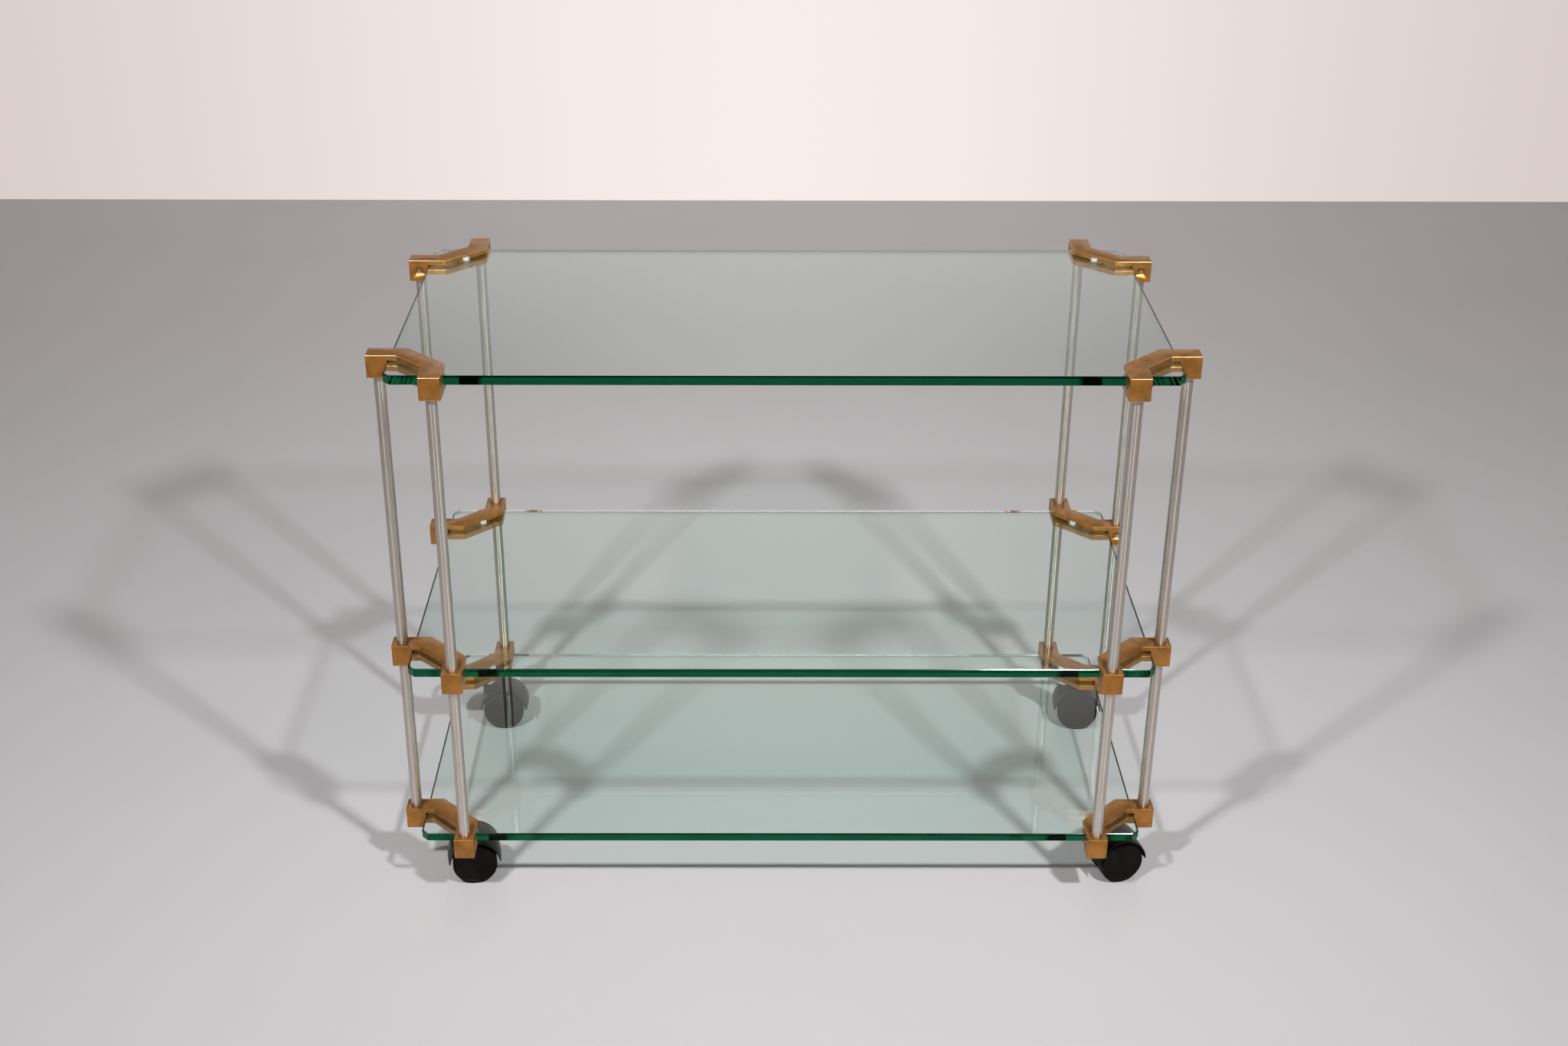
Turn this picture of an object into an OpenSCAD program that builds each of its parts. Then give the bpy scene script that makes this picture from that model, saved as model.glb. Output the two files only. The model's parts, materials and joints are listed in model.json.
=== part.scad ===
// Dessert trolley: three float-glass shelves carried at their corners by bent
// cast brackets on eight upright rods, rolling on four hooded twin-wheel casters.
// Millimetres, +Z up, +X along the long side, +Y away from the front.
// The origin lies on the floor, under the middle of the trolley.

/* [Shelves] */
// Length of each glass shelf along X
shelf_l = 800; // [600:5:1000]
// Depth of each glass shelf along Y
shelf_w = 400; // [300:5:500]
// Thickness of the glass
glass_t = 10; // [8:0.5:12]
// How far each glass corner is clipped along both edges
corner_clip = 7; // [3:0.5:12]
// Ground arris along every glass edge
arris = 0.7; // [0.3:0.1:1]
// Height of the bottom shelf's upper face
bottom_h = 80; // [79:1:90]
// Height of the middle shelf's upper face
middle_h = 290; // [220:1:340]
// Height of the top shelf's upper face
top_h = 624; // [500:1:720]

/* [Rods] */
// Diameter of the upright rods
rod_d = 12; // [10:0.5:14]
// Distance of each rod's axis from the corner, along the glass edge it stands outside
rod_in = 50; // [45:0.5:60]
// Radial gap between a rod and its bore
rod_gap = 0.05; // [0.02:0.01:0.1]

/* [Brackets] */
// Width of the bracket bar, which is also the side of its square end blocks
bar_w = 22; // [20:0.5:24]
// Gap between an end block and the edge of the glass
edge_gap = 0.25; // [0.2:0.05:0.5]
// Thickness of the jaw above the glass
jaw_top = 5; // [4:0.5:7]
// Clear gap between the upper jaw and the glass
gap_top = 1; // [0.5:0.1:2]
// Thickness of the jaw below the glass
jaw_low = 6; // [5:0.5:8]
// Clear gap between the lower jaw and the glass
gap_low = 2; // [1:0.1:3]
// Length of the straight arm from the glass edge to the outer bend
arm = 9.3; // [6:0.1:14]
// Rounding of the upright edges of the end blocks
block_r = 1; // [0.5:0.1:3]
// Countersink round the mouth of each rod bore
mouth = 0.8; // [0.4:0.1:1.2]

/* [Pads and screws] */
// Diameter of the clear pad between the upper jaw and the glass
pad_d = 8; // [6:0.5:9]
// Height of the pad above the glass
pad_h = 3.6; // [2:0.1:4.5]
// Diameter of the clamp screws in the lower jaws
clamp_d = 6; // [5:0.5:8]
// Diameter of the grub screws that lock the rods
grub_d = 4; // [3:0.5:5]

/* [Casters] */
// Wheel diameter
wheel_d = 50; // [44:1:51]
// Width over both wheels of a caster
caster_w = 39; // [34:1:40]
// Thickness of the web between the wheels
web_t = 9; // [5:0.5:11]
// Distance from the swivel axis to the axle
trail = 18; // [15:0.5:19]
// Distance of each swivel axis from both edges of the glass
stem_in = 34; // [32:0.5:34]
// Outer radius of the hood at its middle
hood_r = 30.5; // [29.5:0.5:31.5]
// Outer radius of the hood at its two rims
hood_rim_r = 29.2; // [28.9:0.1:29.5]
// Inner radius of the hood
hood_in_r = 27.8; // [26.5:0.1:28]
// Swivel angle of the front left caster
swivel_fl = 9; // [-180:1:180]
// Swivel angle of the front right caster
swivel_fr = 17; // [-180:1:180]
// Swivel angle of the back left caster
swivel_bl = 1; // [-180:1:180]
// Swivel angle of the back right caster
swivel_br = -4; // [-180:1:180]

/* [Hidden] */
$fn = 96;
eps = 0.01;
brass = [0.62, 0.42, 0.18];
steel = [0.72, 0.70, 0.67];
glass = [0.62, 0.76, 0.70, 0.45];
clear = [0.90, 0.91, 0.88];
black = [0.06, 0.06, 0.06];
zinc = [0.60, 0.60, 0.58];

reach = bar_w + edge_gap;                  // outer face of an end block, outside the glass
rod_out = edge_gap + bar_w / 2;            // rod axis, outside the glass
near_e = rod_in - bar_w / 2;               // edge of an arm nearer the corner
far_e = rod_in + bar_w / 2;                // edge of an arm farther from the corner
bend = arm + bar_w * tan(22.5);            // inner bend of the bar
up = gap_top + jaw_top;                    // top of the bracket over the glass face
down = glass_t + gap_low + jaw_low;        // underside of the bracket below the glass face
diag_c = (near_e + arm + far_e + bend) / 4; // middle of the diagonal bar, from both edges
pad_at = diag_c + bar_w / 2 * cos(45) + 0.6;
axle_z = wheel_d / 2;
web_gap = 0.9;                             // between web and wheel
wheel_w = caster_w / 2 - web_t / 2 - web_gap;
jaw_under = bottom_h - down;               // underside of the bottom brackets
collar_low = jaw_under - 3;                // underside of a stem's collar
stem_r = 5;                                // journal of a stem
journal_low = axle_z + wheel_d / 2;        // lowest end of the stem, level with the wheel's top
ring_z = journal_low + 2.2;                // groove of the snap ring

// Puts its children at one corner of a shelf. There +X and +Y run inwards along
// the glass edges, and z = 0 is the upper face of the glass.
// sx is -1 at the left and 1 at the right, sy is -1 at the front and 1 at the back.
module at_corner(sx, sy, z) {
    translate([sx * shelf_l / 2, sy * shelf_w / 2, z])
        mirror([sx > 0 ? 1 : 0, 0, 0]) mirror([0, sy > 0 ? 1 : 0, 0])
            children();
}

// Repeats its children at the four corners of a shelf
module four_corners(z) {
    for (sx = [-1, 1], sy = [-1, 1]) at_corner(sx, sy, z) children();
}

// Turns its children over onto the other leg of a bracket
module both_legs() {
    children();
    mirror([1, -1, 0]) children();
}

// ---- glass -------------------------------------------------------------

// The eight corners of a shelf, anticlockwise from the front left
function shelf_outline() =
    let (x = shelf_l / 2, y = shelf_w / 2, c = corner_clip)
    [[-x + c, -y], [x - c, -y], [x, -y + c], [x, y - c],
     [x - c, y], [-x + c, y], [-x, y - c], [-x, -y + c]];

// A glass plate with clipped corners and a ground arris on every edge
module shelf(z) {
    p = shelf_outline();
    color(glass)
        translate([0, 0, z - glass_t])
            difference() {
                linear_extrude(glass_t) polygon(p);
                for (i = [0 : 7], h = [0, glass_t]) {
                    a = p[i];
                    b = p[(i + 1) % 8];
                    d = b - a;
                    translate([(a.x + b.x) / 2, (a.y + b.y) / 2, h])
                        rotate([0, 0, atan2(d.y, d.x)]) rotate([45, 0, 0])
                            cube([norm(d) + 4, arris * sqrt(2), arris * sqrt(2)], center = true);
                }
            }
}

// ---- brackets ----------------------------------------------------------

// Rounds off one square corner of a flat outline, at p, where q points inwards
module corner_round(p, q, r) {
    translate(p)
        difference() {
            translate([q.x > 0 ? -1 : -r, q.y > 0 ? -1 : -r]) square(r + 1);
            translate([q.x * r, q.y * r]) circle(r);
        }
}

// The bent bar seen from above: block, arm, diagonal, arm, block
module bracket_plan() {
    difference() {
        polygon([
            [-reach, near_e], [arm, near_e], [near_e, arm], [near_e, -reach],
            [far_e, -reach], [far_e, bend], [bend, far_e], [-reach, far_e]
        ]);
        both_legs() {
            corner_round([-reach, near_e], [1, 1], block_r);
            corner_round([-reach, far_e], [1, -1], block_r);
        }
    }
}

// A corner bracket. open_top and open_low say where the rods go right through.
module bracket(level, sx, sy) {
    z = level == "top" ? top_h : level == "middle" ? middle_h : bottom_h;
    open_top = level != "top";
    open_low = level != "bottom";
    floor_z = open_low ? -down - 1 : -down + 3;
    roof_z = open_top ? up + 1 : up - 3;
    color(brass)
        at_corner(sx, sy, z)
            difference() {
                translate([0, 0, -down]) linear_extrude(up + down) bracket_plan();
                // the slot that takes the glass
                translate([-edge_gap, -edge_gap, -glass_t - gap_low])
                    cube([far_e + 1, far_e + 1, glass_t + gap_low + gap_top]);
                both_legs() {
                    translate([-rod_out, rod_in, floor_z])
                        cylinder(r = rod_d / 2 + rod_gap, h = roof_z - floor_z);
                    if (open_top)
                        translate([-rod_out, rod_in, up - mouth])
                            cylinder(r1 = rod_d / 2 + rod_gap, r2 = rod_d / 2 + rod_gap + mouth, h = mouth + eps);
                    if (open_low)
                        translate([-rod_out, rod_in, -down - eps])
                            cylinder(r1 = rod_d / 2 + rod_gap + mouth, r2 = rod_d / 2 + rod_gap, h = mouth);
                    // tapped hole for the rod's grub screw, in the side away from the corner
                    translate([-rod_out, rod_in, (up - down) / 2]) rotate([-90, 0, 0])
                        cylinder(d = grub_d + 0.1, h = bar_w / 2 + 1, $fn = 48);
                }
                // seat of the pad, open at the inner edge of the diagonal
                translate([pad_at, pad_at, 0]) cylinder(d = pad_d + 0.1, h = pad_h + 0.05, $fn = 64);
                // tapped hole in the lower jaw
                if (level == "bottom")
                    translate([stem_in, stem_in, -down - 1]) cylinder(d = 8.1, h = jaw_low + 2);
                else
                    translate([diag_c, diag_c, -down - 1]) cylinder(d = clamp_d + 0.1, h = jaw_low + 2, $fn = 64);
            }
}

// ---- rods, pads and screws ---------------------------------------------

// A rod beside a corner: the side rod stands outside the glass's short edge, the
// other outside its long edge. Both ends are chamfered.
module rod(side, sx, sy) {
    low = bottom_h - down + 3.2;
    high = top_h + up - 3.2;
    p = side ? [-rod_out, rod_in] : [rod_in, -rod_out];
    color(steel)
        at_corner(sx, sy, 0)
            translate([p.x, p.y, low])
                rotate_extrude()
                    polygon([
                        [0, 0], [rod_d / 2 - 0.6, 0], [rod_d / 2, 0.6],
                        [rod_d / 2, high - low - 0.6], [rod_d / 2 - 0.6, high - low], [0, high - low]
                    ]);
}

// The clear round pad that cushions the glass against the upper jaw
module pad(z, sx, sy) {
    color(clear)
        at_corner(sx, sy, z)
            translate([pad_at, pad_at, 0.02])
                rotate_extrude($fn = 64)
                    difference() {
                        square([pad_d / 2, pad_h]);
                        corner_round([pad_d / 2, pad_h], [-1, -1], 0.6);
                    }
}

// Socket set screws in the four lower jaws of a shelf, each with a cushion that
// bears on the glass
module clamp_screws(z) {
    shank = jaw_low + gap_low - 1;
    color(zinc)
        four_corners(z)
            translate([diag_c, diag_c, -down])
                difference() {
                    union() {
                        cylinder(d = clamp_d, h = shank, $fn = 64);
                        translate([0, 0, shank]) cylinder(d = clamp_d + 4, h = 0.98, $fn = 64);
                    }
                    translate([0, 0, -1]) cylinder(d = clamp_d / 2, h = 4, $fn = 6);
                }
}

// The grub screws that lock the rods in all the brackets. Each sits in the side of
// its end block that faces away from the corner, with its hexagon socket outwards.
module rod_grub_screws() {
    long = (bar_w - rod_d) / 2 - 0.5;
    color(zinc)
        for (z = [bottom_h, middle_h, top_h])
            four_corners(z)
                both_legs()
                    translate([-rod_out, rod_in + rod_d / 2 + 0.02, (up - down) / 2])
                        rotate([-90, 0, 0])
                            difference() {
                                cylinder(d = grub_d, h = long, $fn = 48);
                                translate([0, 0, long - 2]) cylinder(d = grub_d / 2, h = 3, $fn = 6);
                            }
}

// ---- casters -----------------------------------------------------------

// Puts its children on one caster's swivel axis, turned to its swivel angle.
// There the axle lies along Y, at x = trail.
module at_caster(sx, sy) {
    turn = sy < 0 ? (sx < 0 ? swivel_fl : swivel_fr) : (sx < 0 ? swivel_bl : swivel_br);
    translate([sx * (shelf_l / 2 - stem_in), sy * (shelf_w / 2 - stem_in), 0])
        rotate([0, 0, turn])
            children();
}

// Turns a profile in (radius, distance along the axle) about the axle, from
// angle a0 above the rear of the floor plane through the given sweep
module round_axle(a0 = 0, sweep = 360) {
    translate([trail, 0, axle_z]) rotate([90, 0, 0]) rotate([0, 0, a0])
        rotate_extrude(angle = sweep, $fn = 128) children();
}

// Threaded stem: it screws up into the lower jaw until it bears on the glass.
// Collar below the jaw, plain journal for the hood below the collar, and round
// the journal a groove for the snap ring.
module caster_stem(sx, sy) {
    top_z = bottom_h - glass_t - 0.02;
    color(zinc)
        at_caster(sx, sy)
            rotate_extrude()
                polygon([
                    [0, journal_low], [stem_r - 0.8, journal_low], [stem_r, journal_low + 0.8],
                    [stem_r, ring_z], [stem_r - 1, ring_z], [stem_r - 1, ring_z + 1.2], [stem_r, ring_z + 1.2],
                    [stem_r, collar_low], [9, collar_low], [9.5, collar_low + 0.5],
                    [9.5, jaw_under - 0.5], [9, jaw_under], [4, jaw_under],
                    [4, top_z - 0.6], [3.4, top_z], [0, top_z]
                ]);
}

// Open snap rings in the stems' grooves. They turn in a recess of the hoods' bores
// and hold the hoods on.
module caster_snap_rings() {
    color(zinc)
        for (sx = [-1, 1], sy = [-1, 1])
            at_caster(sx, sy)
                translate([0, 0, ring_z + 0.1])
                    rotate([0, 0, 20]) rotate_extrude(angle = 320)
                        translate([stem_r - 0.95, 0]) square([1.85, 1]);
}

// Section of the hood's shell: crowned outside, straight inside
module hood_section() {
    half = caster_w / 2;
    sag = hood_r - hood_rim_r;
    crown = [for (t = [-1 : 0.25 : 1]) [hood_r - sag * t * t, half * t]];
    polygon(concat([[hood_in_r, half], [hood_in_r, -half]], crown));
}

// Web between the wheels, seen along the axle: it fills the upper half of the
// hood and comes down round the axle
module web_outline() {
    intersection() {
        circle(hood_in_r + 1);
        union() {
            translate([-40, 2]) square([80, 40]);
            circle(9);
        }
    }
}

// Moulded hood: crowned shell over both wheels, web between them, swivel socket
module caster_hood(sx, sy) {
    color(black)
        at_caster(sx, sy)
            difference() {
                union() {
                    round_axle(5, 170) hood_section();
                    translate([trail, web_t / 2, axle_z]) rotate([90, 0, 0])
                        linear_extrude(web_t) web_outline();
                    // swivel socket, trimmed over the wheels
                    difference() {
                        translate([0, 0, axle_z + 10]) cylinder(d = 17, h = collar_low - 0.4 - axle_z - 10);
                        round_axle() translate([0, -20]) square([wheel_d / 2 + 1.2, 40]);
                    }
                }
                translate([0, 0, journal_low - 0.4]) cylinder(r = stem_r + 0.05, h = 50);
                translate([0, 0, ring_z - 0.3]) cylinder(r = stem_r + 1.2, h = 1.8);
                round_axle() translate([0, -20]) square([3.02, 40]);
            }
}

// Steel axle, fixed in the hood's web
module caster_axle(sx, sy) {
    half = web_t / 2 + web_gap + wheel_w - 4.6;
    color(zinc)
        at_caster(sx, sy)
            round_axle()
                polygon([
                    [0, -half], [2.5, -half], [3, -half + 0.5], [3, half - 0.5], [2.5, half], [0, half]
                ]);
}

// Half the section of a wheel in (radius, height): a moulded cup with its disc
// outside, a raised ring near the rim, the mark of the moulding gate in the middle
// of the disc, and a blind hub bore on the inner side
module wheel_section() {
    r = wheel_d / 2;
    w = wheel_w;
    difference() {
        square([r, w]);
        corner_round([r, w], [-1, -1], 1.2);
        corner_round([r, 0], [-1, 1], 0.8);
        // dished outer face between the gate mark and the rim ring
        translate([1.2, w - 0.7]) square([r - 4.6, 2]);
        translate([0, w - 0.3]) square([1.3, 2]);
        // hollow between hub and rim, open towards the web
        translate([7.5, -1]) square([r - 11, w - 2.9]);
        // axle bore
        translate([-1, -1]) square([4.05, w - 3]);
    }
}

// One wheel of a caster. s is -1 for the near wheel and 1 for the far one.
module wheel(sx, sy, s) {
    color(black)
        at_caster(sx, sy)
            translate([trail, 0, axle_z])
                rotate([s < 0 ? 90 : -90, 0, 0])
                    translate([0, 0, web_t / 2 + web_gap])
                        rotate_extrude($fn = 128) wheel_section();
}

// ---- nodes -------------------------------------------------------------

shelf(top_h);  // top_shelf
shelf(middle_h);  // middle_shelf
shelf(bottom_h);  // bottom_shelf
bracket("top", -1, -1);  // top_front_left_bracket
bracket("top", 1, -1);  // top_front_right_bracket
bracket("top", -1, 1);  // top_back_left_bracket
bracket("top", 1, 1);  // top_back_right_bracket
bracket("middle", -1, -1);  // middle_front_left_bracket
bracket("middle", 1, -1);  // middle_front_right_bracket
bracket("middle", -1, 1);  // middle_back_left_bracket
bracket("middle", 1, 1);  // middle_back_right_bracket
bracket("bottom", -1, -1);  // bottom_front_left_bracket
bracket("bottom", 1, -1);  // bottom_front_right_bracket
bracket("bottom", -1, 1);  // bottom_back_left_bracket
bracket("bottom", 1, 1);  // bottom_back_right_bracket
rod(true, -1, -1);  // front_left_side_rod
rod(false, -1, -1);  // front_left_front_rod
rod(true, 1, -1);  // front_right_side_rod
rod(false, 1, -1);  // front_right_front_rod
rod(true, -1, 1);  // back_left_side_rod
rod(false, -1, 1);  // back_left_back_rod
rod(true, 1, 1);  // back_right_side_rod
rod(false, 1, 1);  // back_right_back_rod
pad(top_h, -1, -1);  // top_front_left_pad
pad(top_h, 1, -1);  // top_front_right_pad
pad(top_h, -1, 1);  // top_back_left_pad
pad(top_h, 1, 1);  // top_back_right_pad
pad(middle_h, -1, -1);  // middle_front_left_pad
pad(middle_h, 1, -1);  // middle_front_right_pad
pad(middle_h, -1, 1);  // middle_back_left_pad
pad(middle_h, 1, 1);  // middle_back_right_pad
pad(bottom_h, -1, -1);  // bottom_front_left_pad
pad(bottom_h, 1, -1);  // bottom_front_right_pad
pad(bottom_h, -1, 1);  // bottom_back_left_pad
pad(bottom_h, 1, 1);  // bottom_back_right_pad
clamp_screws(top_h);  // top_clamp_screws
clamp_screws(middle_h);  // middle_clamp_screws
rod_grub_screws();
caster_snap_rings();
caster_stem(-1, -1);  // front_left_caster_stem
caster_hood(-1, -1);  // front_left_caster_hood
caster_axle(-1, -1);  // front_left_caster_axle
wheel(-1, -1, -1);  // front_left_near_wheel
wheel(-1, -1, 1);  // front_left_far_wheel
caster_stem(1, -1);  // front_right_caster_stem
caster_hood(1, -1);  // front_right_caster_hood
caster_axle(1, -1);  // front_right_caster_axle
wheel(1, -1, -1);  // front_right_near_wheel
wheel(1, -1, 1);  // front_right_far_wheel
caster_stem(-1, 1);  // back_left_caster_stem
caster_hood(-1, 1);  // back_left_caster_hood
caster_axle(-1, 1);  // back_left_caster_axle
wheel(-1, 1, -1);  // back_left_near_wheel
wheel(-1, 1, 1);  // back_left_far_wheel
caster_stem(1, 1);  // back_right_caster_stem
caster_hood(1, 1);  // back_right_caster_hood
caster_axle(1, 1);  // back_right_caster_axle
wheel(1, 1, -1);  // back_right_near_wheel
wheel(1, 1, 1);  // back_right_far_wheel
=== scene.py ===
"""Dresses the serving trolley: clear glass shelves in bent brass corner brackets on
satin steel rods, rolling on hooded black twin-wheel casters.

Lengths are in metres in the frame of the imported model: +X along the long side, +Y to
the back, +Z up, with the floor at z = 0. Each piece takes its place from the frame.
"""

import json
import math

import bmesh
import bpy
import numpy as np
from bpy.props import FloatProperty, FloatVectorProperty, PointerProperty
from bpy.types import NodeSocket, Operator, Panel, PropertyGroup
from mathutils import Matrix, Vector

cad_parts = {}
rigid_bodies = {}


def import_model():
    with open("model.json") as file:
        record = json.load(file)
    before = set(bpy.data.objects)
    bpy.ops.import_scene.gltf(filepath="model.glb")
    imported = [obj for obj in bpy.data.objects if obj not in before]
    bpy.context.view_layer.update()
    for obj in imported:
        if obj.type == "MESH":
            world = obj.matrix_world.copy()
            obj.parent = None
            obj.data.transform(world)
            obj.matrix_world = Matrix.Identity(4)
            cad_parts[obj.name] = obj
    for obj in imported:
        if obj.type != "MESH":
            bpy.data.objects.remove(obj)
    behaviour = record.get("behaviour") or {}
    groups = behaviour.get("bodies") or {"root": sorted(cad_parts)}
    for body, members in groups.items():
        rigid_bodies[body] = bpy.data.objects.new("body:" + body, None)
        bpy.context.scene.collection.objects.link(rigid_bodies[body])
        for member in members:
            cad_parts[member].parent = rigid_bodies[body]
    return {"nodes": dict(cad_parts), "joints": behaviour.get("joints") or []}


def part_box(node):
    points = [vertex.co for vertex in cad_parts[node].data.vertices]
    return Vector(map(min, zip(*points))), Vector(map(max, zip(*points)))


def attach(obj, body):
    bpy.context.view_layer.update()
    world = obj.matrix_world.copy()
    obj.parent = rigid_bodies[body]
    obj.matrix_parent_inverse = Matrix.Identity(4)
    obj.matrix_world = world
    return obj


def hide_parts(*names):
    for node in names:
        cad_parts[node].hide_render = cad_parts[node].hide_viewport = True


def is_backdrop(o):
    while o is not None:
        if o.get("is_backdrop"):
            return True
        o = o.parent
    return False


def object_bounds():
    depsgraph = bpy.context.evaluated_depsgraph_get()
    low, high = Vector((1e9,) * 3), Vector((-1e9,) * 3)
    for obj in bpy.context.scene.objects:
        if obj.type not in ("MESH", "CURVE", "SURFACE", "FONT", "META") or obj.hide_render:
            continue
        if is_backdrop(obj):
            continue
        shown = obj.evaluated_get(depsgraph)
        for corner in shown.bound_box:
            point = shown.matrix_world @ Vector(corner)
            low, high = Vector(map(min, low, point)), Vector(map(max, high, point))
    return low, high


bl_info = {
    "name": "Serving Trolley",
    "version": (1, 0, 0),
    "blender": (4, 5, 0),
    "location": "3D View > Sidebar > Trolley",
    "description": "Builds the surfaces and finishes of a glass serving trolley",
    "category": "Add Mesh",
}

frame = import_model()
CAD_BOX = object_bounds()

CORNERS = [(end, side) for end in ("front", "back") for side in ("left", "right")]
LEVELS = ("top", "middle", "bottom")
LEVEL_CORNERS = [(level, end, side) for level in LEVELS for end, side in CORNERS]
MM = 0.001
UP = (0.0, 0.0, 1.0)


# ---- settings ----------------------------------------------------------------


def length(name, description, default, most):
    """A length in metres for a property group."""
    return FloatProperty(
        name=name, description=description, default=default, min=0.0, max=most,
        subtype="DISTANCE", unit="LENGTH", precision=5,
    )


def power(name, description, default):
    """A lamp's power in watts for a property group."""
    return FloatProperty(
        name=name, description=description, default=default, min=0.0, unit="POWER",
    )


def colour(name, description, default):
    """A linear colour for a property group."""
    return FloatVectorProperty(
        name=name, description=description, default=default, min=0.0, max=1.0,
        subtype="COLOR", size=3,
    )


class TrolleySizes(PropertyGroup):
    """Sizes of the details that the finish adds."""

    glass_arris: length("Glass arris", "Width of the ground edge of a shelf", 0.7 * MM, 2 * MM)
    glass_clip: length("Glass clip", "Cut along both edges at a shelf's corner", 7 * MM, 20 * MM)
    bracket_edge: length(
        "Bracket edge", "Rounding of a bracket's edges, in shape and in shading", 0.7 * MM, 1.5 * MM
    )
    rod_chamfer: length("Rod chamfer", "Chamfer at a rod's ends", 0.6 * MM, 2 * MM)
    pad_crown: length("Pad crown", "Rounding of a clear pad", 1.0 * MM, 1.6 * MM)
    hood_edge: length("Hood edge", "Rounding of a hood's moulded edges", 0.4 * MM, 0.7 * MM)
    wheel_edge: length("Wheel edge", "Rounding between a wheel's tread and face", 1.3 * MM, 3 * MM)
    wheel_ring: length("Wheel ring", "Width of the raised ring inside a wheel's edge", 3.4 * MM, 6 * MM)
    wheel_dish: length("Wheel dish", "Depth of a wheel's face below its ring", 0.7 * MM, 1.5 * MM)


class TrolleyColours(PropertyGroup):
    """Colours of the finishes."""

    brass: colour("Brass", "Satin brass of the brackets", (0.42, 0.180, 0.036))
    brass_dark: colour("Aged brass", "Darker clouds in the brass", (0.27, 0.12, 0.022))
    # bright metal rubbed free along edges, and a painted highlight along them
    brass_worn_and_highlight: colour("Worn brass", "Bright metal along the top brackets' edges", (0.88, 0.64, 0.32))
    steel: colour("Steel", "Satin steel of the rods", (0.56, 0.51, 0.46))
    zinc: colour("Zinc", "Plated screws and stems", (0.70, 0.70, 0.68))
    pad: colour("Pad", "Clear soft plastic of the pads", (0.80, 0.84, 0.80))
    plastic: colour("Plastic", "Black plastic of the casters", (0.0055, 0.0048, 0.0042))
    glass_tint: colour("Glass tint", "What glass a few centimetres thick lets through", (0.03, 0.65, 0.47))
    floor: colour("Floor", "Painted floor", (0.560, 0.540, 0.552))
    wall: colour("Wall", "Wall behind, in the middle", (0.93, 0.85, 0.83))
    # painted shade: the wall's colour far to the sides, where less light falls
    wall_shaded_sides: colour("Wall's sides", "Wall behind, far to the sides", (0.65, 0.575, 0.55))


class StageSettings(PropertyGroup):
    """Light and camera."""

    lamp_power: power("Lamp power", "Power of each soft lamp", 23.5)
    lamp_size: length("Lamp size", "Side of each soft lamp", 0.14, 2.0)
    lamp_spread: FloatProperty(
        name="Lamp spread", description="Angle over which a lamp shines", default=math.radians(118.0),
        min=0.0, max=math.pi, subtype="ANGLE", unit="ROTATION",
    )
    gleam_power: power("Gleam power", "Power of the lamp that gleams in the middle shelf's edge", 4.0)
    ambient: FloatProperty(
        name="Ambient", description="Strength of the light from all round", default=0.12,
        min=0.0, max=2.0, subtype="FACTOR",
    )
    focal_length: FloatProperty(
        name="Focal length", description="Camera lens in millimetres", default=47.22,
        min=10.0, max=200.0, unit="CAMERA",
    )


# ---- surfaces ----------------------------------------------------------------


def loft(rings):
    """Closed skin over a stack of rings, an array of (ring, point, xyz).

    Point j of ring i is joined to point j + 1 and to both those points of ring i + 1 by
    one four-sided face, all the way round, and a flat face closes the first and the
    last ring. Rings run anticlockwise as seen from the end of the stack.
    """
    count, around = rings.shape[:2]
    here = np.arange(count * around).reshape(count, around)
    after = np.roll(here, -1, axis=1)
    bands = np.stack([here[:-1], after[:-1], after[1:], here[1:]], axis=-1).reshape(-1, 4)
    return rings.reshape(-1, 3), [here[0, ::-1].tolist(), *bands.tolist(), here[-1].tolist()]


def turned(profile, centre, axis, around):
    """Rings of a turned shape: (r, h) goes to centre + h axis + r (cos a u + sin a v).

    a runs once round in equal steps, and u and v are unit vectors square to the axis.
    """
    axis = np.asarray(axis, float) / np.linalg.norm(axis)
    upright = abs(axis[2]) >= 0.9
    u = np.cross(axis, [0.0, 1.0, 0.0] if upright else UP)
    u /= np.linalg.norm(u)
    v = np.cross(axis, u)
    a = np.linspace(0.0, 2.0 * np.pi, around, endpoint=False)[:, None]
    spokes = np.cos(a) * u + np.sin(a) * v
    radius, height = np.asarray(profile, float).T[:, :, None, None]
    return np.asarray(centre, float) + height * axis + radius * spokes


def softened(profile, reach, steps=4):
    """Rounds the inner corners of an open line of (r, h) points.

    Corner p becomes the curve (1 - t)^2 a + 2 t (1 - t) p + t^2 b, where a and b lie
    on the two sides of the corner at the given reach, or at 0.45 of a shorter side.
    """
    p = np.asarray(profile, float)
    reach = np.broadcast_to(reach, len(p))[1:-1, None]
    back, on = p[:-2] - p[1:-1], p[2:] - p[1:-1]
    long_back, long_on = (np.linalg.norm(side, axis=1, keepdims=True) for side in (back, on))
    a = p[1:-1] + back / long_back * np.minimum(reach, 0.45 * long_back)
    b = p[1:-1] + on / long_on * np.minimum(reach, 0.45 * long_on)
    t = np.linspace(0.0, 1.0, steps + 1)[None, :, None]
    arcs = (1 - t) ** 2 * a[:, None] + 2 * t * (1 - t) * p[1:-1, None] + t**2 * b[:, None]
    return np.vstack([p[:1], arcs.reshape(-1, 2), p[-1:]])


def inset(outline, distances):
    """Rings of a convex outline moved inwards, one for each distance.

    A corner between two sides with inward unit normals m and n moves by
    d (m + n) / (1 + m . n), which keeps both sides parallel to where they were.
    """
    side = np.roll(outline, -1, axis=0) - outline
    n = np.stack([-side[:, 1], side[:, 0]], axis=1) / np.linalg.norm(side, axis=1, keepdims=True)
    m = np.roll(n, 1, axis=0)
    slide = (m + n) / (1.0 + np.sum(m * n, axis=1, keepdims=True))
    return outline + np.asarray(distances, float)[:, None, None] * slide


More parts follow.
